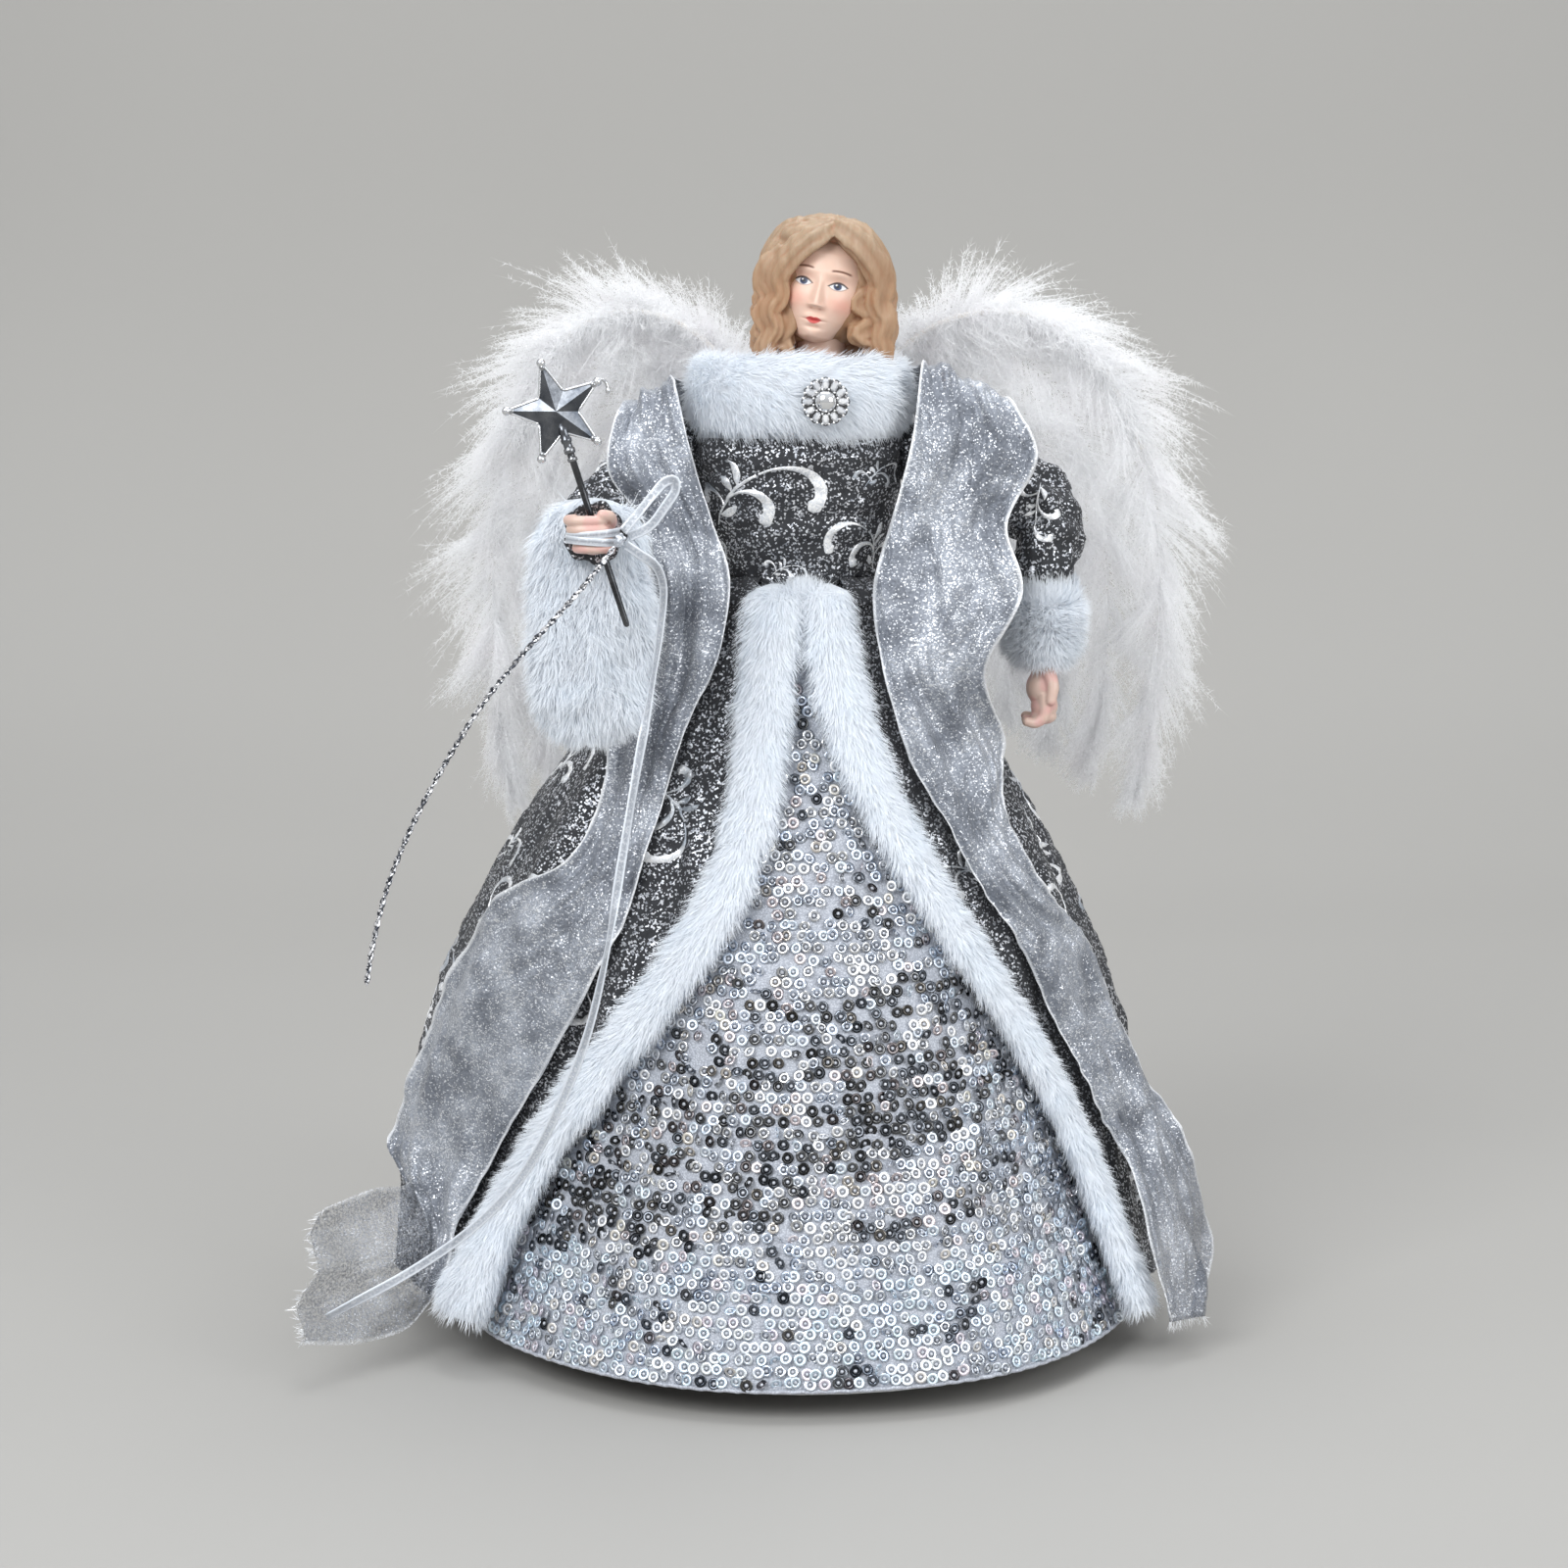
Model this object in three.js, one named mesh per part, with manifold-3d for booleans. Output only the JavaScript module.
// Angel tree topper: a hollow cone carries a dressed doll with jointed arms, folding feather wings,
// a wand in its right hand and a long stole. Millimetres, +Z up, the doll faces -Y, its right hand
// is on -X, and the origin is the middle of the cone's rim.
import * as THREE from 'three';
import { mergeVertices } from 'three/addons/utils/BufferGeometryUtils.js';
import Module from 'manifold-3d';

const wasm = await Module();
wasm.setup();

// Clearances and cloth
const GAP = 0.3; // between pieces that touch
const CLOTH = 0.9; // robe, bodice, skirt and stole fabric with its backing
const LINING = 1.2;
const CUT_PAST = 1; // cutting tools run this far past the faces they open
const AROUND = 48; // facets round the skirt

// Support cone and skirt
const WAIST_Z = 200;
const WAIST_RADIUS = 21;
const HEM_RADIUS = 94;
const HEM_LIFT = 1; // cloth hems stay clear of the surface the cone stands on
const CONE_WALL = 1.8;
const CONE_TOP_DROP = 6; // the cone's flat top lies this far below the waist

// Torso and bodice: half widths and half depths
const WAIST_HALF_WIDTH = 17;
const WAIST_HALF_DEPTH = 15;
const CHEST_HALF_WIDTH = 28;
const CHEST_HALF_DEPTH = 20.5;
const TORSO_HEIGHT = 43; // waist to the top of the torso
const CHEST_DROP = 5; // widest section below the top of the torso
const SHOULDER_ROUND = 1; // the top section is this much smaller
const BODICE_LIFT = 3; // bodice hem above the waist

// Head casting: shoulder plate, neck, head and hair
const PLATE_HALF_WIDTH = 21;
const PLATE_HALF_DEPTH = 15;
const PLATE_HEIGHT = 13;
const PLATE_TAPER = 2;
const NECK_RADIUS = 8;
const NECK_SLOPE = 5; // height of the slope from the plate to the neck
const NECK_FORWARD = 3;
const HEAD_LEAN = 6.8; // the head leans to the doll's left
const HEAD_HALF = { width: 13, depth: 15, height: 18 };
const HAIR_HALF = { width: 19, depth: 18.5, height: 20.5 };
const HAIR_RISE = 61.8; // top of the hair above the torso
const HAIR_BACK = 2; // the hair's middle lies this far behind the head's
const HEAD_DROP = 1.5; // the head's middle lies this far below the hair's
const FACE_OPENING = { forward: 2, drop: 3 };
const HAIR_LOCK = { inset: 7, back: 1, width: 6.5, depth: 11 };

// Fur collar
const COLLAR_HALF_WIDTH = 31;
const COLLAR_HALF_DEPTH = 26;
const COLLAR_HEIGHT = 22.5;

// Brooch
const BROOCH_RADIUS = 6.4;
const BROOCH_THICK = 1.4;
const BROOCH_BEVEL = 0.6;
const BROOCH_DROP = 1.5; // below the middle of the collar
const BROOCH_STONE_RADIUS = 2.7;
const RHINESTONES = 12;
const RHINESTONE_RADIUS = 1.05;
const RHINESTONE_RING = 4.6;
const RHINESTONE_HEIGHT = 1.5;

// Arms
const SHOULDER_BALL = 8.5;
const SHOULDER_DROP = 5; // below the top of the torso
const SHOULDER_Y = 2;
const SLEEVE_BORE = 5.2;
const WIRE_RADIUS = 0.8;
const ELBOW_OUT = 22; // from the shoulder, to the side
const ELBOW_DOWN = 26;
const RIGHT_ELBOW_FORWARD = 16;
const RIGHT_WRIST_FORWARD = 51; // from the shoulder to the end of the sleeve
const RIGHT_WRIST_OUT = 14.8;
const RIGHT_WRIST_DOWN = 18;
const RIGHT_WRIST_LEAD = 8; // straight length before the wrist
const RIGHT_SLEEVE_RADIUS = 11;
const RIGHT_SLEEVE_END = 10.5;
const LEFT_UPPER_OUT = 20.3; // a point of the upper arm, from the shoulder
const LEFT_UPPER_DOWN = 9;
const LEFT_UPPER_FORWARD = 3;
const LEFT_ELBOW_OUT = 30.5;
const LEFT_ELBOW_ABOVE_WRIST = 16;
const LEFT_ELBOW_FORWARD = 6;
const LEFT_WRIST_LEAD = 5;
const LEFT_WRIST_DOWN = 35.5;
const LEFT_WRIST_OUT = 29;
const LEFT_WRIST_FORWARD = 9;
const LEFT_SLEEVE_RADIUS = 11.5;
const LEFT_WRIST_RADIUS = 8;

// Fur cuffs and hands
const RIGHT_CUFF = { halfWidth: 17, halfDepth: 8, above: 6.5, below: 54, out: 2.2 };
const LEFT_CUFF = { halfWidth: 10.8, halfDepth: 9.5, height: 24 };
const FIST_RADIUS = 6.3;
const FIST_REACH = 8.6; // middle of the fist in front of the cuff
const FIST_TALLER = 0.4;
const HAND_WRIST_RADIUS = 3.6;
const HAND_IN_CUFF = 4; // the left wrist stops this far below the cuff's top
const WIRE_IN_HAND = 3; // depth of the arm wire's hole into each hand
const LEFT_HAND_LENGTH = 15;
const LEFT_PALM = { halfWidth: 5, halfDepth: 4 };

// Wand
const ROD_RADIUS = 0.9;
const ROD_ABOVE_HAND = 25.4; // from the middle of the fist to the rod's end in the star
const ROD_BELOW_HAND = 24.5;
const ROD_TILT = 17.8; // degrees from upright, the star leaning away from the body
const STAR_RADIUS = 13;
const STAR_INNER_SHARE = 0.42;
const STAR_THICK = 5;
const STAR_BALL = 1.1;
const STAR_SOCKET_RADIUS = 1.9;
const STAR_SOCKET_LENGTH = 8;
const ROD_SEAT = 4; // how far the rod goes into the star's socket
const WAND_IN_FIST = { x: 1.2, y: -2 }; // the rod's place beside the middle of the fist

// Ribbon on the wand hand
const RIBBON_DIAMETER = 1.9;
const RIBBON_BAND = { height: 3, thick: 0.7, halfAngle: 122 };
const KNOT_RADIUS = 2;
const KNOT_ANGLE = 48; // round the fist from its front towards the body

// Robe, an open overskirt
const ROBE_HEM_Z = 6;
const ROBE_RIGHT_FLARE = 88; // how far the bell swells past the waist on each side
const ROBE_LEFT_FLARE = 76;
const ROBE_RIGHT_POWER = 2.4;
const ROBE_LEFT_POWER = 2.05;
const ROBE_WAIST_EXTRA = 3;
const ROBE_FOLDS = 11;
const ROBE_FOLD_DEPTH = 3;
const ROBE_FULL_AT = 88; // azimuth in degrees at which the bell is full
const ROBE_EDGE_GAP = 0.6; // from the fur trims
const ROBE_LEAST_RISE = 15; // degrees from the front edge to the full bell, at least

// Fur trims down the robe's front edges
const TRIM_THICK = 7;
const TRIM_TOP_LIFT = 4; // the trims start this far above the waist
const TRIM_STANDOFF = { top: 0.5, hem: 4 };
const RIGHT_TRIM = { side: -1, top: 16, sweep: 49, start: 0.24, end: 0.87, wide: [8, 6.5, 11] };
const LEFT_TRIM = { side: 1, top: 17, sweep: 53, start: 0.03, end: 0.8, wide: [7.5, 5.5, 6.5] };

// Stole
const STOLE_CLEAR = 2.6; // from the robe, collar and shoulders
const STOLE_RIPPLE = 1.6;
const STOLE_RIPPLES = 2.5;

// Wings
const WING_PIN = { x: 7, y: 28, radius: 0.9, tube: 2.4 };
const WING_PLATE = { halfWidth: 11, height: 32, lift: 7 };
const WING_Y = 34;
const WING_LEAN = 0.12; // the wing's lower part stands back
const WING_WIRE_GAP = 0.9; // from the wire rib to the first feather
const WING_RISE = 45; // the wings' shoulder above the waist
const RIGHT_SPAN = 90;
const LEFT_SPAN = 106;
const FEATHERS = 4;
const FEATHER_THICK = 1.2;
const FEATHER_HALF_WIDTH = 15.5;
const WING_CREST = 58; // quill arch above the wing's shoulder, at its control point
const WING_DROP = 108; // longest quill tip below the wing's shoulder
const WING_SHORTER = 26; // the shortest quill ends this much higher
const WING_FLOOR = 3; // material below the wire legs in the plate
const WING_BEND = { out: 2.5, up: 6 }; // the leg's bend over the plate

// Derived places
const radians = THREE.MathUtils.degToRad;
const lerp = THREE.MathUtils.lerp;
const smooth = THREE.MathUtils.smoothstep;
const vec = (x, y, z) => new THREE.Vector3(x, y, z);
const skirtRadius = (z) => lerp(HEM_RADIUS, WAIST_RADIUS, z / WAIST_Z);
const CONE_OFFSET = CLOTH + GAP + LINING + GAP;
const CONE_TOP = WAIST_Z - CONE_TOP_DROP;
const TORSO_TOP = WAIST_Z + TORSO_HEIGHT;
const COLLAR_Z = TORSO_TOP + GAP + COLLAR_HEIGHT / 2;
const SHOULDER_Z = TORSO_TOP - SHOULDER_DROP;
const HAIR_TOP_Z = TORSO_TOP + HAIR_RISE;
const WING_SHOULDER_Z = WAIST_Z + WING_RISE;
const SHOULDER_X = CHEST_HALF_WIDTH + GAP + CLOTH + GAP + SHOULDER_BALL;

// Builds a geometry from points and faces, and turns the faces outwards.
function surface(points, faces) {
  let volume = 0;
  for (const [a, b, c] of faces) {
    volume += points[a].dot(points[b].clone().cross(points[c]));
  }
  const index = faces.flatMap(([a, b, c]) => (volume > 0 ? [a, b, c] : [a, c, b]));
  const geometry = new THREE.BufferGeometry().setFromPoints(points);
  geometry.setIndex(index);
  return geometry;
}

// Joins two closed rows of n points that start at a and b.
function joinRows(faces, a, b, n) {
  for (let j = 0; j < n; j += 1) {
    const k = (j + 1) % n;
    faces.push([a + j, a + k, b + k], [a + j, b + k, b + j]);
  }
}

// A solid through closed rings of points, with a fan over each end.
function loft(rings) {
  const n = rings[0].length;
  const points = rings.flat();
  const faces = [];
  for (let i = 0; i + 1 < rings.length; i += 1) joinRows(faces, i * n, (i + 1) * n, n);
  for (const [start, flip] of [[0, true], [(rings.length - 1) * n, false]]) {
    const middle = vec(0, 0, 0);
    for (let j = 0; j < n; j += 1) middle.addScaledVector(points[start + j], 1 / n);
    const m = points.push(middle) - 1;
    for (let j = 0; j < n; j += 1) {
      const k = (j + 1) % n;
      faces.push(flip ? [m, start + k, start + j] : [m, start + j, start + k]);
    }
  }
  return surface(points, faces);
}

// A ring solid whose section is swept right round and closes on itself.
function closedLoft(rings) {
  const n = rings[0].length;
  const faces = [];
  rings.forEach((ring, i) => joinRows(faces, i * n, ((i + 1) % rings.length) * n, n));
  return surface(rings.flat(), faces);
}

// A solid between two grids of points, closed all round the edge.
function layered(top, under) {
  const n = 2 * top[0].length;
  const last = (top.length - 1) * n;
  const points = top.flatMap((row, i) => [...row, ...under[i].slice().reverse()]);
  const faces = [];
  for (let i = 0; i < last; i += n) joinRows(faces, i, i + n, n);
  for (let j = 0; j + 1 < n / 2; j += 1) {
    const [a, b, c, d] = [j, j + 1, n - 2 - j, n - 1 - j];
    faces.push([a, c, b], [a, d, c]);
    faces.push([last + a, last + b, last + c], [last + a, last + c, last + d]);
  }
  return surface(points, faces);
}

// The direction across a grid of points at one of them.
function gridNormal(rows, i, j) {
  const row = rows[i];
  const across = row[Math.min(j + 1, row.length - 1)].clone().sub(row[Math.max(j - 1, 0)]);
  const along = rows[Math.min(i + 1, rows.length - 1)][j].clone().sub(rows[Math.max(i - 1, 0)][j]);
  return across.cross(along).normalize();
}

// Moves each point of a grid along its normal by a distance that may follow its place.
function offsetGrid(rows, distance) {
  return rows.map((row, i) => row.map((point, j) => point.clone()
    .addScaledVector(gridNormal(rows, i, j), distance(i, j))));
}

// A level elliptical ring.
function ellipse(x, y, z, halfWidth, halfDepth, sides = 24) {
  return Array.from({ length: sides }, (_, i) => {
    const turn = (2 * Math.PI * i) / sides;
    return vec(x + halfWidth * Math.cos(turn), y + halfDepth * Math.sin(turn), z);
  });
}

// A round tube along a curve whose radius follows the share of the length.
function taperTube(curve, radius, sides, steps) {
  const frames = curve.computeFrenetFrames(steps);
  const rings = [];
  for (let i = 0; i <= steps; i += 1) {
    const centre = curve.getPointAt(i / steps);
    const r = radius(i / steps);
    rings.push(Array.from({ length: sides }, (_, j) => {
      const turn = (2 * Math.PI * j) / sides;
      return centre.clone()
        .addScaledVector(frames.normals[i], r * Math.cos(turn))
        .addScaledVector(frames.binormals[i], r * Math.sin(turn));
    }));
  }
  return loft(rings);
}

// A round rod or cord of even thickness along a curve.
function rod(curve, radius, steps, sides = 8) {
  const section = new THREE.Shape(new THREE.EllipseCurve(0, 0, radius, radius).getPoints(sides).slice(0, -1));
  return new THREE.ExtrudeGeometry(section, { extrudePath: curve, steps, bevelEnabled: false });
}

// A turned solid; the profile's points are radius and height.
function turned(profile, sides) {
  const points = profile.map(([r, z]) => new THREE.Vector2(r, z));
  return facingOut(new THREE.LatheGeometry(points, sides).rotateX(Math.PI / 2));
}

// Drops normals, joins shared points and turns the faces outwards.
function facingOut(geometry) {
  const bare = new THREE.BufferGeometry().setAttribute('position', geometry.getAttribute('position'));
  bare.setIndex(geometry.index);
  const merged = mergeVertices(bare, 1e-4);
  const position = merged.getAttribute('position');
  const points = [];
  for (let i = 0; i < position.count; i += 1) points.push(vec(0, 0, 0).fromBufferAttribute(position, i));
  const faces = [];
  for (let i = 0; i < merged.index.count; i += 3) {
    const face = [0, 1, 2].map((j) => merged.index.getX(i + j));
    if (new Set(face).size === 3) faces.push(face);
  }
  return surface(points, faces);
}

function ball(x, y, z, radius, sides = 16) {
  return new THREE.SphereGeometry(radius, sides, sides / 2).rotateX(Math.PI / 2).translate(x, y, z);
}

function egg(x, y, z, half, sides = 20) {
  return new THREE.SphereGeometry(1, sides, Math.round(sides * 0.6)).rotateX(Math.PI / 2)
    .scale(half.width, half.depth, half.height).translate(x, y, z);
}

// Boolean joins and cuts
function manifold(geometry) {
  const clean = facingOut(geometry);
  return new wasm.Manifold(new wasm.Mesh({
    numProp: 3,
    vertProperties: clean.getAttribute('position').array,
    triVerts: Uint32Array.from(clean.index.array),
  }));
}

function combine(kept, cutAway = []) {
  let body = manifold(kept[0]);
  for (const piece of kept.slice(1)) body = body.add(manifold(piece));
  for (const tool of cutAway) body = body.subtract(manifold(tool));
  const mesh = body.getMesh();
  const geometry = new THREE.BufferGeometry();
  geometry.setAttribute('position', new THREE.BufferAttribute(mesh.vertProperties, mesh.numProp));
  geometry.setIndex(new THREE.BufferAttribute(mesh.triVerts, 1));
  return geometry;
}

// Materials
const finish = (color, roughness, metalness = 0) => () =>
  new THREE.MeshStandardMaterial({ color, roughness, metalness });
const whitePlastic = finish(0xe9e7e2, 0.5);
const foam = finish(0xf2f0ea, 0.9);
const resin = finish(0xe7bfa6, 0.45);
const brocade = finish(0x4a4d57, 0.5, 0.2);
const silverCloth = finish(0xb9bdc6, 0.4, 0.6);
const sequins = finish(0xc9cedb, 0.15, 0.9);
const fur = finish(0xf1f3f8, 0.95);
const feather = finish(0xf4f2f1, 0.9);
const wire = finish(0x8d9096, 0.35, 1);
const chrome = finish(0x5b636e, 0.15, 1);
const silver = finish(0xd6d8dc, 0.15, 1);
const crystal = finish(0xe4ecf6, 0.05);
const ribbon = finish(0xc4ccd6, 0.4, 0.4);

const root = new THREE.Group();
function add(group, name, geometry, material) {
  const mesh = new THREE.Mesh(geometry, material());
  mesh.name = name;
  group.add(mesh);
  return mesh;
}

// Support cone: a hollow shell with a flat closed top, open below for the tree
function supportCone() {
  const outer = (z) => skirtRadius(z) - CONE_OFFSET;
  const ceiling = CONE_TOP - CONE_WALL;
  return turned([
    [0, ceiling],
    [outer(ceiling) - CONE_WALL, ceiling],
    [outer(0) - CONE_WALL, 0],
    [outer(0), 0],
    [outer(CONE_TOP), CONE_TOP],
    [0, CONE_TOP],
  ], AROUND);
}

// A skirt layer lies inside the skirt's outer face by its offset.
function skirtLayer(offset, thickness) {
  const low = HEM_LIFT;
  const outer = (z) => skirtRadius(z) - offset;
  return turned([
    [outer(low) - thickness, low],
    [outer(low), low],
    [outer(WAIST_Z), WAIST_Z],
    [outer(WAIST_Z) - thickness, WAIST_Z],
    [outer(low) - thickness, low],
  ], AROUND);
}

add(root, 'support_cone', supportCone(), whitePlastic);
add(root, 'skirt_lining', skirtLayer(CLOTH + GAP, LINING), silverCloth);
add(root, 'sequin_skirt', skirtLayer(0, CLOTH), sequins);

// Torso and bodice share one set of sections: height above the waist, half width and half depth.
function torsoSections() {
  const chest = TORSO_HEIGHT - CHEST_DROP;
  return [
    [-CONE_TOP_DROP + GAP, WAIST_HALF_WIDTH, WAIST_HALF_DEPTH],
    [BODICE_LIFT, WAIST_HALF_WIDTH, WAIST_HALF_DEPTH],
    [chest / 2, (WAIST_HALF_WIDTH + CHEST_HALF_WIDTH) / 2, (WAIST_HALF_DEPTH + CHEST_HALF_DEPTH) / 2],
    [chest, CHEST_HALF_WIDTH, CHEST_HALF_DEPTH],
    [TORSO_HEIGHT, CHEST_HALF_WIDTH - SHOULDER_ROUND, CHEST_HALF_DEPTH - SHOULDER_ROUND],
  ];
}

const wireLine = (half) => new THREE.LineCurve3(
  vec(-half, SHOULDER_Y, SHOULDER_Z), vec(half, SHOULDER_Y, SHOULDER_Z));
const wireBore = rod(wireLine(SHOULDER_X), WIRE_RADIUS + GAP, 1);
const torsoRings = (grow, sections) => sections.map(
  ([up, w, d]) => ellipse(0, 0, WAIST_Z + up, w + grow, d + grow));

function bodice() {
  const sections = torsoSections().slice(1);
  const [hem, top] = [sections[0], sections[sections.length - 1]];
  const inside = [[hem[0] - CUT_PAST, ...hem.slice(1)], ...sections, [top[0] + CUT_PAST, ...top.slice(1)]];
  return combine([loft(torsoRings(GAP + CLOTH, sections))], [loft(torsoRings(GAP, inside)), wireBore]);
}

add(root, 'torso_block', combine([loft(torsoRings(0, torsoSections()))], [wireBore]), foam);
add(root, 'bodice', bodice(), brocade);
add(root, 'shoulder_wire', rod(wireLine(SHOULDER_X - WIRE_RADIUS - GAP), WIRE_RADIUS, 1), wire);

// Head casting: one piece of resin from the shoulder plate to the hair
function headBust() {
  const plate = TORSO_TOP + GAP;
  const hairZ = HAIR_TOP_Z - HAIR_HALF.height;
  const headZ = hairZ - HEAD_DROP;
  const neckTop = headZ - HEAD_HALF.height / 2;
  const hairEnd = COLLAR_Z + COLLAR_HEIGHT / 2 + GAP;
  const shoulders = loft([
    ellipse(0, 0, plate, PLATE_HALF_WIDTH, PLATE_HALF_DEPTH, 20),
    ellipse(0, 0, plate + PLATE_HEIGHT, PLATE_HALF_WIDTH - PLATE_TAPER, PLATE_HALF_DEPTH - PLATE_TAPER, 20),
    ellipse(HEAD_LEAN / 2, 0, plate + PLATE_HEIGHT + NECK_SLOPE, NECK_RADIUS, NECK_RADIUS, 20),
    ellipse(HEAD_LEAN, -NECK_FORWARD, neckTop, NECK_RADIUS, NECK_RADIUS, 20),
  ]);
  const head = egg(HEAD_LEAN, -HAIR_BACK, headZ, HEAD_HALF, 16);
  const hair = egg(HEAD_LEAN, 0, hairZ, HAIR_HALF);
  const faceOpening = egg(
    HEAD_LEAN, -HAIR_HALF.depth - FACE_OPENING.forward, headZ - FACE_OPENING.drop, HEAD_HALF, 14);
  const lockZ = (hairZ + hairEnd) / 2;
  const lock = (side) => egg(
    HEAD_LEAN + side * (HAIR_HALF.width - HAIR_LOCK.inset), HAIR_LOCK.back, lockZ,
    { width: HAIR_LOCK.width, depth: HAIR_LOCK.depth, height: lockZ - hairEnd }, 12);
  const hairBody = combine([hair, lock(-1), lock(1)], [faceOpening]);
  return combine([shoulders, head, hairBody]);
}
add(root, 'head_bust', headBust(), resin);

// Fur collar: a plump band round the shoulder plate
function collar() {
  const inner = [PLATE_HALF_WIDTH + GAP, PLATE_HALF_DEPTH + GAP];
  const around = 28;
  const section = 12;
  const rings = Array.from({ length: around }, (_, i) => {
    const turn = (2 * Math.PI * i) / around;
    return Array.from({ length: section }, (__, j) => {
      const lap = (2 * Math.PI * j) / section;
      const out = (1 + Math.cos(lap)) / 2;
      return vec(
        lerp(inner[0] / Math.cos(Math.PI / around), COLLAR_HALF_WIDTH, out) * Math.cos(turn),
        lerp(inner[1] / Math.cos(Math.PI / around), COLLAR_HALF_DEPTH, out) * Math.sin(turn),
        COLLAR_Z + (COLLAR_HEIGHT / 2) * Math.sin(lap),
      );
    });
  });
  return closedLoft(rings);
}
add(root, 'fur_collar', collar(), fur);

// Brooch: a dished setting on the collar's front with a domed stone and a ring of rhinestones
const BROOCH_Y = -COLLAR_HALF_DEPTH - GAP;
const brooch = new THREE.Group();
brooch.position.set(HEAD_LEAN, BROOCH_Y, COLLAR_Z - BROOCH_DROP);
brooch.rotation.x = Math.PI / 2;
root.add(brooch);
add(brooch, 'brooch_setting', turned([
  [0, 0],
  [BROOCH_RADIUS - BROOCH_BEVEL, 0],
  [BROOCH_RADIUS, BROOCH_THICK],
  [0, BROOCH_THICK],
], 24), silver);
add(brooch, 'brooch_stone', turned([
  [0, BROOCH_THICK + GAP],
  [BROOCH_STONE_RADIUS, BROOCH_THICK + GAP],
  [BROOCH_STONE_RADIUS * 0.8, BROOCH_THICK + GAP + BROOCH_STONE_RADIUS * 0.5],
  [0, BROOCH_THICK + GAP + BROOCH_STONE_RADIUS * 0.8],
], 12), silver);
for (let i = 0; i < RHINESTONES; i += 1) {
  const turn = (2 * Math.PI * i) / RHINESTONES;
  const stone = add(brooch, `rhinestone_${i + 1}`, turned([
    [0, 0],
    [RHINESTONE_RADIUS, 0],
    [RHINESTONE_RADIUS * 0.5, RHINESTONE_HEIGHT],
    [0, RHINESTONE_HEIGHT],
  ], 8), crystal);
  stone.position.set(RHINESTONE_RING * Math.cos(turn), RHINESTONE_RING * Math.sin(turn), BROOCH_THICK + GAP);
}

// Sleeves: a ball at the shoulder and a padded tube with a bore for the arm wire
function sleeve(curve, radius, boreEnd, torsoSide) {
  const start = curve.getPointAt(0);
  const bore = taperTube(curve, (s) => lerp(SLEEVE_BORE, boreEnd, s), 8, 5);
  const mouth = rod(new THREE.LineCurve3(start, torsoSide), SLEEVE_BORE, 1, 10);
  const padded = taperTube(curve, radius, 12, 8);
  const past = curve.getPointAt(1).addScaledVector(curve.getTangentAt(1), CUT_PAST);
  const exit = rod(new THREE.LineCurve3(curve.getPointAt(0.97), past), boreEnd, 1, 10);
  return combine([padded, ball(...start.toArray(), SHOULDER_BALL, 14)], [
    bore, mouth, exit, ball(...start.toArray(), SLEEVE_BORE, 8)]);
}

const sleeveRadius = (elbow, wrist) => (s) => (s < 0.5
  ? lerp(SHOULDER_BALL - GAP, elbow, smooth(s, 0, 0.5))
  : lerp(elbow, wrist, smooth(s, 0.5, 1)));

// Right arm: the forearm comes forward and the fist holds the wand
const rightArm = new THREE.Group();
root.add(rightArm);
const rightShoulder = vec(-SHOULDER_X, SHOULDER_Y, SHOULDER_Z);
const rightWrist = rightShoulder.clone().add(vec(-RIGHT_WRIST_OUT, -RIGHT_WRIST_FORWARD, -RIGHT_WRIST_DOWN));
const rightCuffY = rightWrist.y - GAP - RIGHT_CUFF.halfDepth;
const fist = vec(rightWrist.x, rightCuffY - RIGHT_CUFF.halfDepth - FIST_REACH, rightWrist.z);
const rightArmCurve = new THREE.CatmullRomCurve3([
  rightShoulder,
  rightShoulder.clone().add(vec(-ELBOW_OUT, -RIGHT_ELBOW_FORWARD, -ELBOW_DOWN)),
  rightWrist.clone().add(vec(0, RIGHT_WRIST_LEAD, 0)),
  rightWrist,
]);
const rightWireCurve = new THREE.CatmullRomCurve3([
  ...rightArmCurve.getSpacedPoints(8),
  vec(fist.x, fist.y + FIST_RADIUS + GAP, fist.z),
]);
add(rightArm, 'right_arm_wire', rod(rightWireCurve, WIRE_RADIUS, 16, 6), wire);
add(rightArm, 'right_sleeve', sleeve(rightArmCurve, sleeveRadius(RIGHT_SLEEVE_RADIUS, RIGHT_SLEEVE_END),
  HAND_WRIST_RADIUS, rightShoulder.clone().setX(-SHOULDER_X + SHOULDER_BALL + CUT_PAST)), brocade);

// A fat drop of fur that hangs below the wrist; the hand comes out near its top.
function rightCuff() {
  const top = rightWrist.z + RIGHT_CUFF.above;
  const low = rightWrist.z - RIGHT_CUFF.below;
  const shares = [
    [0, 0.22], [0.06, 0.6], [0.18, 0.9], [0.4, 1], [0.65, 0.97], [0.84, 0.82], [0.95, 0.52], [1, 0.2],
  ];
  const rings = shares.map(([up, wide]) => ellipse(
    rightWrist.x - RIGHT_CUFF.out, rightCuffY, lerp(low, top, up),
    RIGHT_CUFF.halfWidth * wide, RIGHT_CUFF.halfDepth * (0.35 + 0.65 * wide), 16));
  const wrist = new THREE.LineCurve3(vec(rightWrist.x, rightWrist.y + CUT_PAST, rightWrist.z),
    vec(rightWrist.x, fist.y, rightWrist.z));
  return combine([loft(rings)], [rod(wrist, HAND_WRIST_RADIUS + GAP, 1, 16)]);
}
add(rightArm, 'right_cuff', rightCuff(), fur);

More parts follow.
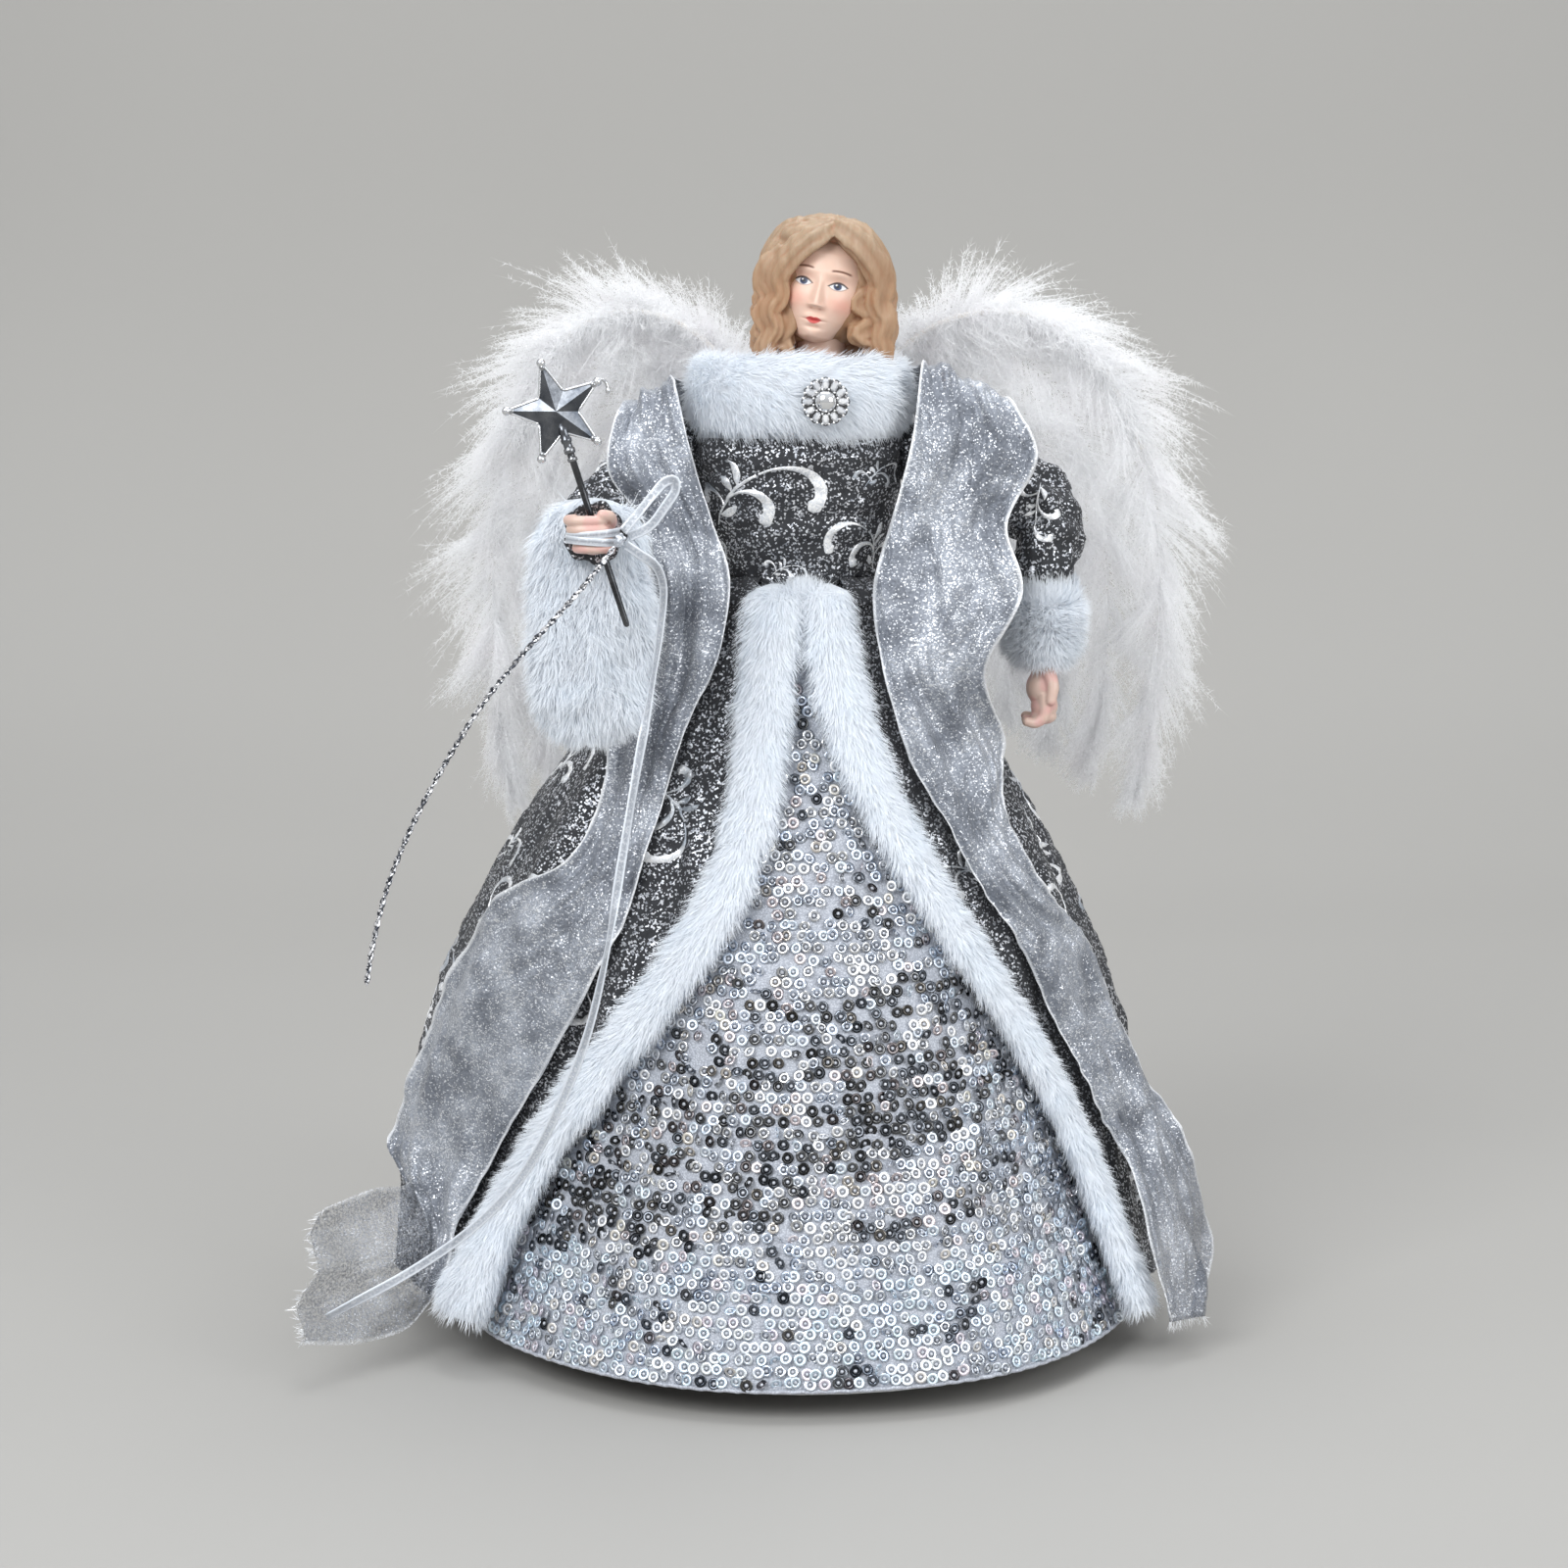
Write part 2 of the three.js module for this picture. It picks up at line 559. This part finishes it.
// Wand, its own frame along the rod with the middle of the fist at zero
const wandSpot = vec(fist.x + WAND_IN_FIST.x, fist.y + WAND_IN_FIST.y, fist.z);
const wandUp = vec(-Math.sin(radians(ROD_TILT)), 0, Math.cos(radians(ROD_TILT)));
const alongWand = (s) => wandSpot.clone().addScaledVector(wandUp, s);
const wandLine = (from, to) => new THREE.LineCurve3(alongWand(from), alongWand(to));

function rightHand() {
  const wristBack = vec(rightWrist.x, rightCuffY + RIGHT_CUFF.halfDepth - CUT_PAST, rightWrist.z);
  const wrist = rod(new THREE.LineCurve3(wristBack, fist), HAND_WRIST_RADIUS, 1, 14);
  const wireHole = new THREE.LineCurve3(
    wristBack.clone().add(vec(0, CUT_PAST, 0)), vec(fist.x, fist.y + FIST_RADIUS, fist.z));
  const half = { width: FIST_RADIUS, depth: FIST_RADIUS, height: FIST_RADIUS + FIST_TALLER };
  const palm = egg(fist.x, fist.y, fist.z, half, 16);
  return combine([palm, wrist], [
    rod(wandLine(-2 * FIST_RADIUS, 2 * FIST_RADIUS), ROD_RADIUS + GAP, 1),
    rod(wireHole, WIRE_RADIUS + GAP, 1),
  ]);
}
add(rightArm, 'right_hand', rightHand(), resin);

const wand = new THREE.Group();
rightArm.add(wand);
add(wand, 'wand_rod', rod(wandLine(-ROD_BELOW_HAND, ROD_ABOVE_HAND), ROD_RADIUS, 1), chrome);

// Star: five ridged points with ball tips round a raised middle, on a socket for the rod
const STAR_FOOT = STAR_RADIUS * STAR_INNER_SHARE * 0.6;
function wandStar() {
  const rim = Array.from({ length: 10 }, (_, i) => {
    const r = i % 2 ? STAR_RADIUS * STAR_INNER_SHARE : STAR_RADIUS;
    const turn = (Math.PI * i) / 5;
    return vec(r * Math.sin(turn), 0, r * Math.cos(turn));
  });
  const points = [...rim, vec(0, -STAR_THICK / 2, 0), vec(0, STAR_THICK / 2, 0)];
  const faces = rim.flatMap((_, i) => [[i, (i + 1) % 10, 10], [(i + 1) % 10, i, 11]]);
  const tips = rim.filter((_, i) => i % 2 === 0).map((p) => ball(p.x * 0.97, 0, p.z * 0.97, STAR_BALL, 8));
  const low = -STAR_FOOT - STAR_SOCKET_LENGTH;
  const drum = (radius, from, to) => new THREE.CylinderGeometry(radius, radius, to - from, 10)
    .rotateX(Math.PI / 2).translate(0, 0, (from + to) / 2);
  const socket = drum(STAR_SOCKET_RADIUS, low, -STAR_FOOT);
  const bore = drum(ROD_RADIUS + GAP, low - CUT_PAST, low + ROD_SEAT + GAP);
  return combine([surface(points, faces), socket, ...tips], [bore]);
}
const star = add(wand, 'wand_star', wandStar(), chrome);
star.position.copy(alongWand(ROD_ABOVE_HAND + STAR_FOOT + STAR_SOCKET_LENGTH - ROD_SEAT));
star.rotation.y = -radians(ROD_TILT);

// Ribbon: a band round the front of the fist, a knot, one loop and two long tails
function ribbonBand() {
  const inner = FIST_RADIUS + GAP;
  const steps = 18;
  const rings = [];
  for (let i = 0; i <= steps; i += 1) {
    const turn = radians(lerp(-RIBBON_BAND.halfAngle, RIBBON_BAND.halfAngle, i / steps));
    rings.push([[inner, -1], [inner + RIBBON_BAND.thick, -1], [inner + RIBBON_BAND.thick, 1], [inner, 1]].map(
      ([r, up]) => vec(fist.x + r * Math.sin(turn), fist.y - r * Math.cos(turn),
        fist.z + (up * RIBBON_BAND.height) / 2)));
  }
  return loft(rings);
}
const knotReach = FIST_RADIUS + RIBBON_BAND.thick + 2 * GAP + KNOT_RADIUS;
const knot = vec(fist.x + knotReach * Math.sin(radians(KNOT_ANGLE)),
  fist.y - knotReach * Math.cos(radians(KNOT_ANGLE)), fist.z - 1);
add(rightArm, 'ribbon_band', ribbonBand(), ribbon);
add(rightArm, 'ribbon_knot', ball(...knot.toArray(), KNOT_RADIUS, 12), ribbon);

// Ribbon routes, as steps from the knot's middle; each starts just outside the knot.
const RIBBON_LOOP = [
  [0.82, -0.47, 2.15], [4.5, -0.8, 6.5], [8.6, -0.8, 11.5], [11.6, -0.6, 14.6], [13.9, -0.4, 15],
  [14.1, -0.2, 12.6], [11.6, 0, 8.6], [7.5, 0.2, 3.4], [2.23, 0, 0.73],
];
const RIGHT_TAIL = [
  [-1.36, -0.59, -1.82], [-6.5, -3, -8.5], [-13, -3, -16], [-24, -2, -28], [-35, 0, -41.5],
  [-45, 3, -57], [-53.5, 5, -72.5], [-60.5, 6, -89], [-64.5, 6, -104], [-66.5, 6, -115],
];
const LEFT_TAIL = [
  [1.77, -0.83, -1.3], [5.2, -2, -3.6], [9, -1, -6.4], [10.8, 2.5, -12], [10, 5, -22],
  [7.6, 6, -38], [3.6, 3, -60], [0, -1.5, -82], [-4, -5, -106], [-9.5, -4, -128], [-17.5, 0, -148],
  [-27, 7, -166], [-40, 13, -181], [-57, 17, -194], [-80, 18, -207],
];
function ribbonTube(steps, count) {
  const points = steps.map(([x, y, z]) => knot.clone().add(vec(x, y, z)));
  return rod(new THREE.CatmullRomCurve3(points), RIBBON_DIAMETER / 2, count);
}
add(rightArm, 'ribbon_loop', ribbonTube(RIBBON_LOOP, 16), ribbon);
add(rightArm, 'ribbon_tail_right', ribbonTube(RIGHT_TAIL, 24), ribbon);
add(rightArm, 'ribbon_tail_left', ribbonTube(LEFT_TAIL, 36), ribbon);

// Left arm: hangs at the side
const leftArm = new THREE.Group();
root.add(leftArm);
const leftShoulder = vec(SHOULDER_X, SHOULDER_Y, SHOULDER_Z);
const leftWrist = leftShoulder.clone().add(vec(LEFT_WRIST_OUT, -LEFT_WRIST_FORWARD, -LEFT_WRIST_DOWN));
const leftCuffTop = leftWrist.z - GAP;
const leftCuffLow = leftCuffTop - LEFT_CUFF.height;
const leftHandLow = leftCuffLow - LEFT_HAND_LENGTH;
const leftArmCurve = new THREE.CatmullRomCurve3([
  leftShoulder,
  leftShoulder.clone().add(vec(LEFT_UPPER_OUT, -LEFT_UPPER_FORWARD, -LEFT_UPPER_DOWN)),
  vec(SHOULDER_X + LEFT_ELBOW_OUT, SHOULDER_Y - LEFT_ELBOW_FORWARD, leftWrist.z + LEFT_ELBOW_ABOVE_WRIST),
  leftWrist.clone().add(vec(0, 0, LEFT_WRIST_LEAD)),
  leftWrist,
]);
const leftWireCurve = new THREE.CatmullRomCurve3([
  ...leftArmCurve.getSpacedPoints(8),
  vec(leftWrist.x, leftWrist.y, (leftCuffLow + leftCuffTop) / 2),
  vec(leftWrist.x, leftWrist.y, leftCuffLow + WIRE_IN_HAND + GAP),
]);
add(leftArm, 'left_arm_wire', rod(leftWireCurve, WIRE_RADIUS, 16, 6), wire);
add(leftArm, 'left_sleeve', sleeve(leftArmCurve, sleeveRadius(LEFT_SLEEVE_RADIUS, LEFT_WRIST_RADIUS),
  HAND_WRIST_RADIUS, leftShoulder.clone().setX(SHOULDER_X - SHOULDER_BALL - CUT_PAST)), brocade);

function leftCuff() {
  const shares = [[0, 0.5], [0.15, 0.85], [0.45, 1], [0.75, 0.9], [0.92, 0.7], [1, 0.5]];
  const rings = shares.map(([up, wide]) => ellipse(
    leftWrist.x, leftWrist.y, lerp(leftCuffLow, leftCuffTop, up),
    LEFT_CUFF.halfWidth * wide, LEFT_CUFF.halfDepth * wide, 16));
  const bore = rod(new THREE.LineCurve3(vec(leftWrist.x, leftWrist.y, leftHandLow),
    vec(leftWrist.x, leftWrist.y, leftCuffTop + CUT_PAST)), HAND_WRIST_RADIUS + GAP, 1, 16);
  return combine([loft(rings)], [bore]);
}
add(leftArm, 'left_cuff', leftCuff(), fur);

// The hand hangs with its fingers curled forward and in.
function leftHand() {
  const { x, y } = leftWrist;
  const down = (share) => leftCuffLow - share * LEFT_HAND_LENGTH;
  const palm = loft([
    ellipse(x, y, leftCuffTop - HAND_IN_CUFF, HAND_WRIST_RADIUS, HAND_WRIST_RADIUS, 14),
    ellipse(x, y, down(0.02), HAND_WRIST_RADIUS, HAND_WRIST_RADIUS, 14),
    ellipse(x + 0.5, y, down(0.35), LEFT_PALM.halfWidth, LEFT_PALM.halfDepth, 14),
    ellipse(x + 0.3, y - 1, down(0.65), LEFT_PALM.halfWidth * 0.85, LEFT_PALM.halfDepth * 0.9, 14),
    ellipse(x - 1.2, y - 2.5, down(0.9), LEFT_PALM.halfWidth * 0.8, LEFT_PALM.halfDepth * 0.8, 14),
    ellipse(x - 2, y - 3, down(1), LEFT_PALM.halfWidth * 0.4, LEFT_PALM.halfDepth * 0.4, 14),
  ]);
  const wireHole = new THREE.LineCurve3(vec(x, y, leftCuffLow + WIRE_IN_HAND), vec(x, y, leftCuffTop));
  return combine([palm], [rod(wireHole, WIRE_RADIUS + GAP, 1)]);
}
add(leftArm, 'left_hand', leftHand(), resin);

// Trims: a fur band down each front edge of the robe, along a line of azimuths
const hemShare = (z) => (WAIST_Z - z) / WAIST_Z;
const clamp = (value) => THREE.MathUtils.clamp(value, 0, 1);
const trimStandoff = (z) => lerp(TRIM_STANDOFF.top, TRIM_STANDOFF.hem, clamp(hemShare(z)));
const trimAzimuth = (trim, z) => trim.top + trim.sweep * smooth(hemShare(z), trim.start, trim.end);

function trimHalfWidth(trim, z) {
  const share = clamp(hemShare(z));
  const [top, middle, hem] = trim.wide;
  return share < 0.5 ? lerp(top, middle, share * 2) : lerp(middle, hem, share * 2 - 1);
}

function onCone(azimuth, radius, z) {
  return vec(radius * Math.sin(radians(azimuth)), -radius * Math.cos(radians(azimuth)), z);
}

function trimPoint(trim, z) {
  return onCone(trim.side * trimAzimuth(trim, z), skirtRadius(z) + trimStandoff(z), z);
}

function trimBand(trim) {
  const steps = 18;
  const sides = 10;
  const top = WAIST_Z + TRIM_TOP_LIFT;
  const rings = [];
  for (let i = 0; i <= steps; i += 1) {
    const z = lerp(top, ROBE_HEM_Z, i / steps);
    const centre = trimPoint(trim, z);
    const along = trimPoint(trim, z - 1).sub(trimPoint(trim, z + 1)).normalize();
    const out = vec(centre.x, centre.y, 0).normalize();
    const across = along.clone().cross(out).normalize();
    const rise = across.clone().cross(along).normalize();
    if (rise.dot(out) < 0) rise.negate();
    const ends = Math.min(1, 0.45 + 2 * Math.min(i, steps - i) / 3);
    const half = trimHalfWidth(trim, z) * ends;
    rings.push(Array.from({ length: sides }, (_, j) => {
      const turn = (2 * Math.PI * j) / sides;
      return centre.clone().addScaledVector(across, half * Math.cos(turn))
        .addScaledVector(rise, (TRIM_THICK / 2) * (1 + Math.sin(turn)));
    }));
  }
  return loft(rings);
}
add(root, 'right_fur_trim', trimBand(RIGHT_TRIM), fur);
add(root, 'left_fur_trim', trimBand(LEFT_TRIM), fur);

// Robe: a bell, fuller on the doll's right, that rises from the trims' outer edges
function robeEdge(trim, z) {
  const reach = trimHalfWidth(trim, z) + ROBE_EDGE_GAP;
  const radius = skirtRadius(z) + trimStandoff(z) + TRIM_THICK / 2;
  const slant = trim.sweep * (smooth(hemShare(z) + 0.02, trim.start, trim.end)
    - smooth(hemShare(z) - 0.02, trim.start, trim.end)) / (0.04 * WAIST_Z);
  const stretch = Math.sqrt(1 + (radius * radians(slant)) ** 2);
  return trimAzimuth(trim, z) + THREE.MathUtils.radToDeg((reach * stretch) / radius);
}

function robeRadius(azimuth, z) {
  const trim = azimuth < 0 ? RIGHT_TRIM : LEFT_TRIM;
  const share = z / WAIST_Z;
  const waist = WAIST_RADIUS + ROBE_WAIST_EXTRA;
  const right = waist + ROBE_RIGHT_FLARE * (1 - share ** ROBE_RIGHT_POWER);
  const left = waist + ROBE_LEFT_FLARE * (1 - share ** ROBE_LEFT_POWER);
  const bell = lerp(left, right, (1 - Math.sin(radians(azimuth))) / 2);
  const edge = skirtRadius(z) + trimStandoff(z) + (TRIM_THICK + CLOTH) / 2;
  const front = robeEdge(trim, z);
  const rise = smooth(Math.abs(azimuth), front, Math.max(front + ROBE_LEAST_RISE, ROBE_FULL_AT));
  const fold = ROBE_FOLD_DEPTH * Math.cos(radians(ROBE_FOLDS * azimuth)) * Math.min(1, 2 * (1 - share));
  return Math.max(lerp(edge, bell, rise), skirtRadius(z) + CLOTH + 2 * GAP) + fold * rise;
}

function robe() {
  const columns = 40;
  const steps = 9;
  const rows = [];
  for (let i = 0; i <= steps; i += 1) {
    const z = lerp(WAIST_Z - 1, ROBE_HEM_Z, i / steps);
    const from = robeEdge(LEFT_TRIM, z);
    const to = 360 - robeEdge(RIGHT_TRIM, z);
    rows.push(Array.from({ length: columns + 1 }, (_, j) => {
      const turn = lerp(from, to, j / columns);
      const azimuth = turn > 180 ? turn - 360 : turn;
      return onCone(azimuth, robeRadius(azimuth, z), z);
    }));
  }
  return layered(rows, offsetGrid(rows, () => CLOTH));
}
add(root, 'robe', robe(), brocade);

// Stole: one strip from its right end up over the shoulder, behind the collar and down to its left end.
// Each row runs from the strip's inner edge to its outer edge.
const STOLE_COLUMNS = 6;
const stoleShares = Array.from({ length: STOLE_COLUMNS + 1 }, (_, j) => j / STOLE_COLUMNS);

// A row that follows the robe between two places given as azimuth, height and standoff.
function onRobe(inner, outer) {
  return stoleShares.map((share) => {
    const [azimuth, z, off] = inner.map((value, k) => lerp(value, outer[k], share));
    return onCone(azimuth, robeRadius(azimuth, z) + STOLE_CLEAR + off, z);
  });
}

// A straight row between two points.
function overBody(inner, outer) {
  return stoleShares.map((share) => vec(...inner).lerp(vec(...outer), share));
}

function stoleRows() {
  const neckX = COLLAR_HALF_WIDTH + STOLE_CLEAR;
  const neckY = COLLAR_HALF_DEPTH + STOLE_CLEAR;
  const overArm = SHOULDER_Z + SHOULDER_BALL + STOLE_CLEAR + CLOTH;
  const chestY = -CHEST_HALF_DEPTH + 5;
  const chestZ = WAIST_Z + TORSO_HEIGHT / 2;
  const front = SHOULDER_Y - LEFT_SLEEVE_RADIUS - CLOTH - 9;
  return [
    onRobe([-66, 4, 46], [-69, 25, 50]),
    onRobe([-67, 2, 24], [-74, 33, 30]),
    onRobe([-69, 3, 10], [-80, 36, 10]),
    onRobe([-71, 16, 4], [-86, 40, 4]),
    onRobe([-73, 33, 2.2], [-89, 46, 2.2]),
    onRobe([-69, 52, 1], [-88, 60, 1]),
    onRobe([-61, 74, 1], [-85, 79, 1]),
    onRobe([-52, 98, 1], [-80, 102, 1]),
    onRobe([-47, 112, 1], [-72, 117, 1]),
    onRobe([-44, 128, 1], [-60, 131, 1]),
    onRobe([-43, 148, 1], [-58, 148, 2]),
    onRobe([-42, 166, 2], [-62, 166, 5]),
    onRobe([-38, 183, 2], [-64, 183, 8]),
    overBody([-WAIST_HALF_WIDTH - 2, chestY - 8, WAIST_Z + 4], [-SHOULDER_X - 2, front - 8, WAIST_Z + 3]),
    overBody([-WAIST_HALF_WIDTH - 7, chestY - 4, chestZ], [-SHOULDER_X - 4, front - 2, chestZ - 2]),
    overBody([-neckX + 3.5, chestY - 1, SHOULDER_Z + 3], [-SHOULDER_X - 14, front, SHOULDER_Z - 3]),
    overBody([-neckX, -10, overArm + 7], [-SHOULDER_X - 10, -11, overArm - 1]),
    overBody([-neckX, 4, overArm + 8], [-SHOULDER_X - 6, 5, overArm]),
    overBody([-neckX + 8, 21, overArm + 9], [-neckX, 21, overArm - 2]),
    overBody([0, neckY + 1.4, overArm + 11], [0, neckY + 1.9, overArm + 2]),
    overBody([neckX - 8, 21, overArm + 11], [neckX, 21, overArm - 1]),
    overBody([neckX, 4, overArm + 13], [SHOULDER_X + 12, 3, overArm + 2]),
    overBody([neckX - 1, -12, overArm + 12], [SHOULDER_X + 19, -15, overArm + 2]),
    overBody([neckX - 3, chestY - 3, SHOULDER_Z + 7], [SHOULDER_X + 26, front, SHOULDER_Z + 1]),
    overBody([WAIST_HALF_WIDTH + 8, chestY - 4, chestZ], [SHOULDER_X + 18, front - 2, chestZ - 2]),
    overBody([WAIST_HALF_WIDTH + 3, chestY - 8, WAIST_Z + 3], [SHOULDER_X + 22, front - 8, WAIST_Z + 2]),
    onRobe([37, 183, 2], [61, 181, 18]),
    onRobe([40, 160, 1], [72, 160, 5]),
    onRobe([48, 140, 1], [66, 142, 1]),
    onRobe([55, 122, 1], [70, 123, 1]),
    onRobe([63, 105, 1], [82, 106, 1]),
    onRobe([69, 84, 1], [86, 85, 1]),
    onRobe([74, 64, 2], [88, 66, 2]),
    onRobe([77, 46, 3], [88, 50, 9]),
    onRobe([68, 20, 6], [85, 24, 16]),
    onRobe([66, 5, 6], [76, 2, 10]),
  ];
}

function stole() {
  const rows = stoleRows();
  const columns = stoleShares.map((_, j) => new THREE.CatmullRomCurve3(rows.map((row) => row[j])));
  const steps = 58;
  const grid = Array.from({ length: steps + 1 }, (_, i) => columns.map((curve) => curve.getPoint(i / steps)));
  const wave = (j) => (STOLE_RIPPLE * (1 - Math.cos(2 * Math.PI * STOLE_RIPPLES * stoleShares[j]))) / 2;
  const top = offsetGrid(grid, (i, j) => wave(j));
  return layered(top, offsetGrid(top, () => CLOTH));
}
add(root, 'stole', stole(), silverCloth);

// Wing plate: a block on the bodice's back with two upright tubes for the wings' wire legs
const plateLow = WAIST_Z + WING_PLATE.lift;
const plateHigh = plateLow + WING_PLATE.height;
const plateFront = CHEST_HALF_DEPTH + 2 * GAP + CLOTH;
const wingPost = (side, radius, low, high) => rod(new THREE.LineCurve3(
  vec(side * WING_PIN.x, WING_PIN.y, low), vec(side * WING_PIN.x, WING_PIN.y, high)), radius, 1, 12);

function wingPlate() {
  const depth = WING_PIN.y - plateFront;
  const block = new THREE.BoxGeometry(2 * WING_PLATE.halfWidth, depth, WING_PLATE.height)
    .translate(0, plateFront + depth / 2, (plateLow + plateHigh) / 2);
  const floor = plateLow + WING_FLOOR;
  const bores = [-1, 1].map((side) => wingPost(side, WING_PIN.radius + GAP, floor, plateHigh + CUT_PAST));
  const tubes = [-1, 1].map((side) => wingPost(side, WING_PIN.tube, plateLow, plateHigh));
  return combine([block, ...tubes], bores);
}
add(root, 'wing_plate', wingPlate(), whitePlastic);

// Wings: quills that arch out of the root and droop, each with a broad vane, layered front to back
const wingY = (z) => WING_Y + WING_LEAN * Math.max(0, WING_SHOULDER_Z - z);
const ribY = (z) => wingY(z) - WING_WIRE_GAP - WIRE_RADIUS;
const QUILL_LONG = [[0.13, 4], [0.4, WING_CREST], [1.2, WING_CREST * 0.78], [0.93, -WING_DROP]];
const QUILL_SHORT = [[0.12, -5], [0.25, 22], [0.64, 10], [0.57, WING_SHORTER - WING_DROP]];

function quill(side, span, k) {
  const share = k / (FEATHERS - 1);
  const points = QUILL_LONG.map(([out, up], i) => vec(
    side * span * lerp(out, QUILL_SHORT[i][0], share), 0,
    WING_SHOULDER_Z + lerp(up, QUILL_SHORT[i][1], share)));
  return new THREE.CubicBezierCurve3(...points);
}

function vane(side, span, k) {
  const curve = quill(side, span, k);
  const steps = 11;
  const across = 4;
  const layer = k * (FEATHER_THICK + GAP);
  const rows = [];
  for (let i = 0; i <= steps; i += 1) {
    const share = i / steps;
    const centre = curve.getPoint(share);
    const along = curve.getTangent(share);
    const edge = vec(along.z, 0, -along.x);
    const half = FEATHER_HALF_WIDTH * (0.18 + 0.82 * Math.sin(Math.PI * share ** 0.75) ** 0.6);
    rows.push(Array.from({ length: across + 1 }, (_, j) => {
      const point = centre.clone().addScaledVector(edge, half * ((2 * j) / across - 1));
      return vec(point.x, wingY(point.z) + layer, point.z);
    }));
  }
  return layered(rows, rows.map((row) => row.map((p) => vec(p.x, p.y + FEATHER_THICK, p.z))));
}

function wingWire(side, span) {
  const curve = quill(side, span, 0);
  const pin = (z) => vec(side * WING_PIN.x, WING_PIN.y, z);
  const bendZ = plateHigh + CUT_PAST + WING_BEND.up;
  const points = [0.1, 0.25, 0.4, 0.55, 0.7].map((share) => {
    const point = curve.getPoint(share);
    return vec(point.x, ribY(point.z), point.z);
  });
  return rod(new THREE.CatmullRomCurve3([
    pin(plateLow + WING_FLOOR + GAP),
    pin((plateLow + plateHigh) / 2),
    pin(plateHigh - 2 * CUT_PAST),
    pin(plateHigh + CUT_PAST),
    vec(side * (WING_PIN.x + WING_BEND.out), ribY(bendZ), bendZ),
    ...points,
  ]), WIRE_RADIUS, 30, 6);
}

for (const [name, side, span] of [['right', -1, RIGHT_SPAN], ['left', 1, LEFT_SPAN]]) {
  const wing = new THREE.Group();
  root.add(wing);
  add(wing, `${name}_wing_wire`, wingWire(side, span), wire);
  for (let k = 0; k < FEATHERS; k += 1) {
    add(wing, `${name}_feather_${k + 1}`, vane(side, span, k), feather);
  }
}

export default root;
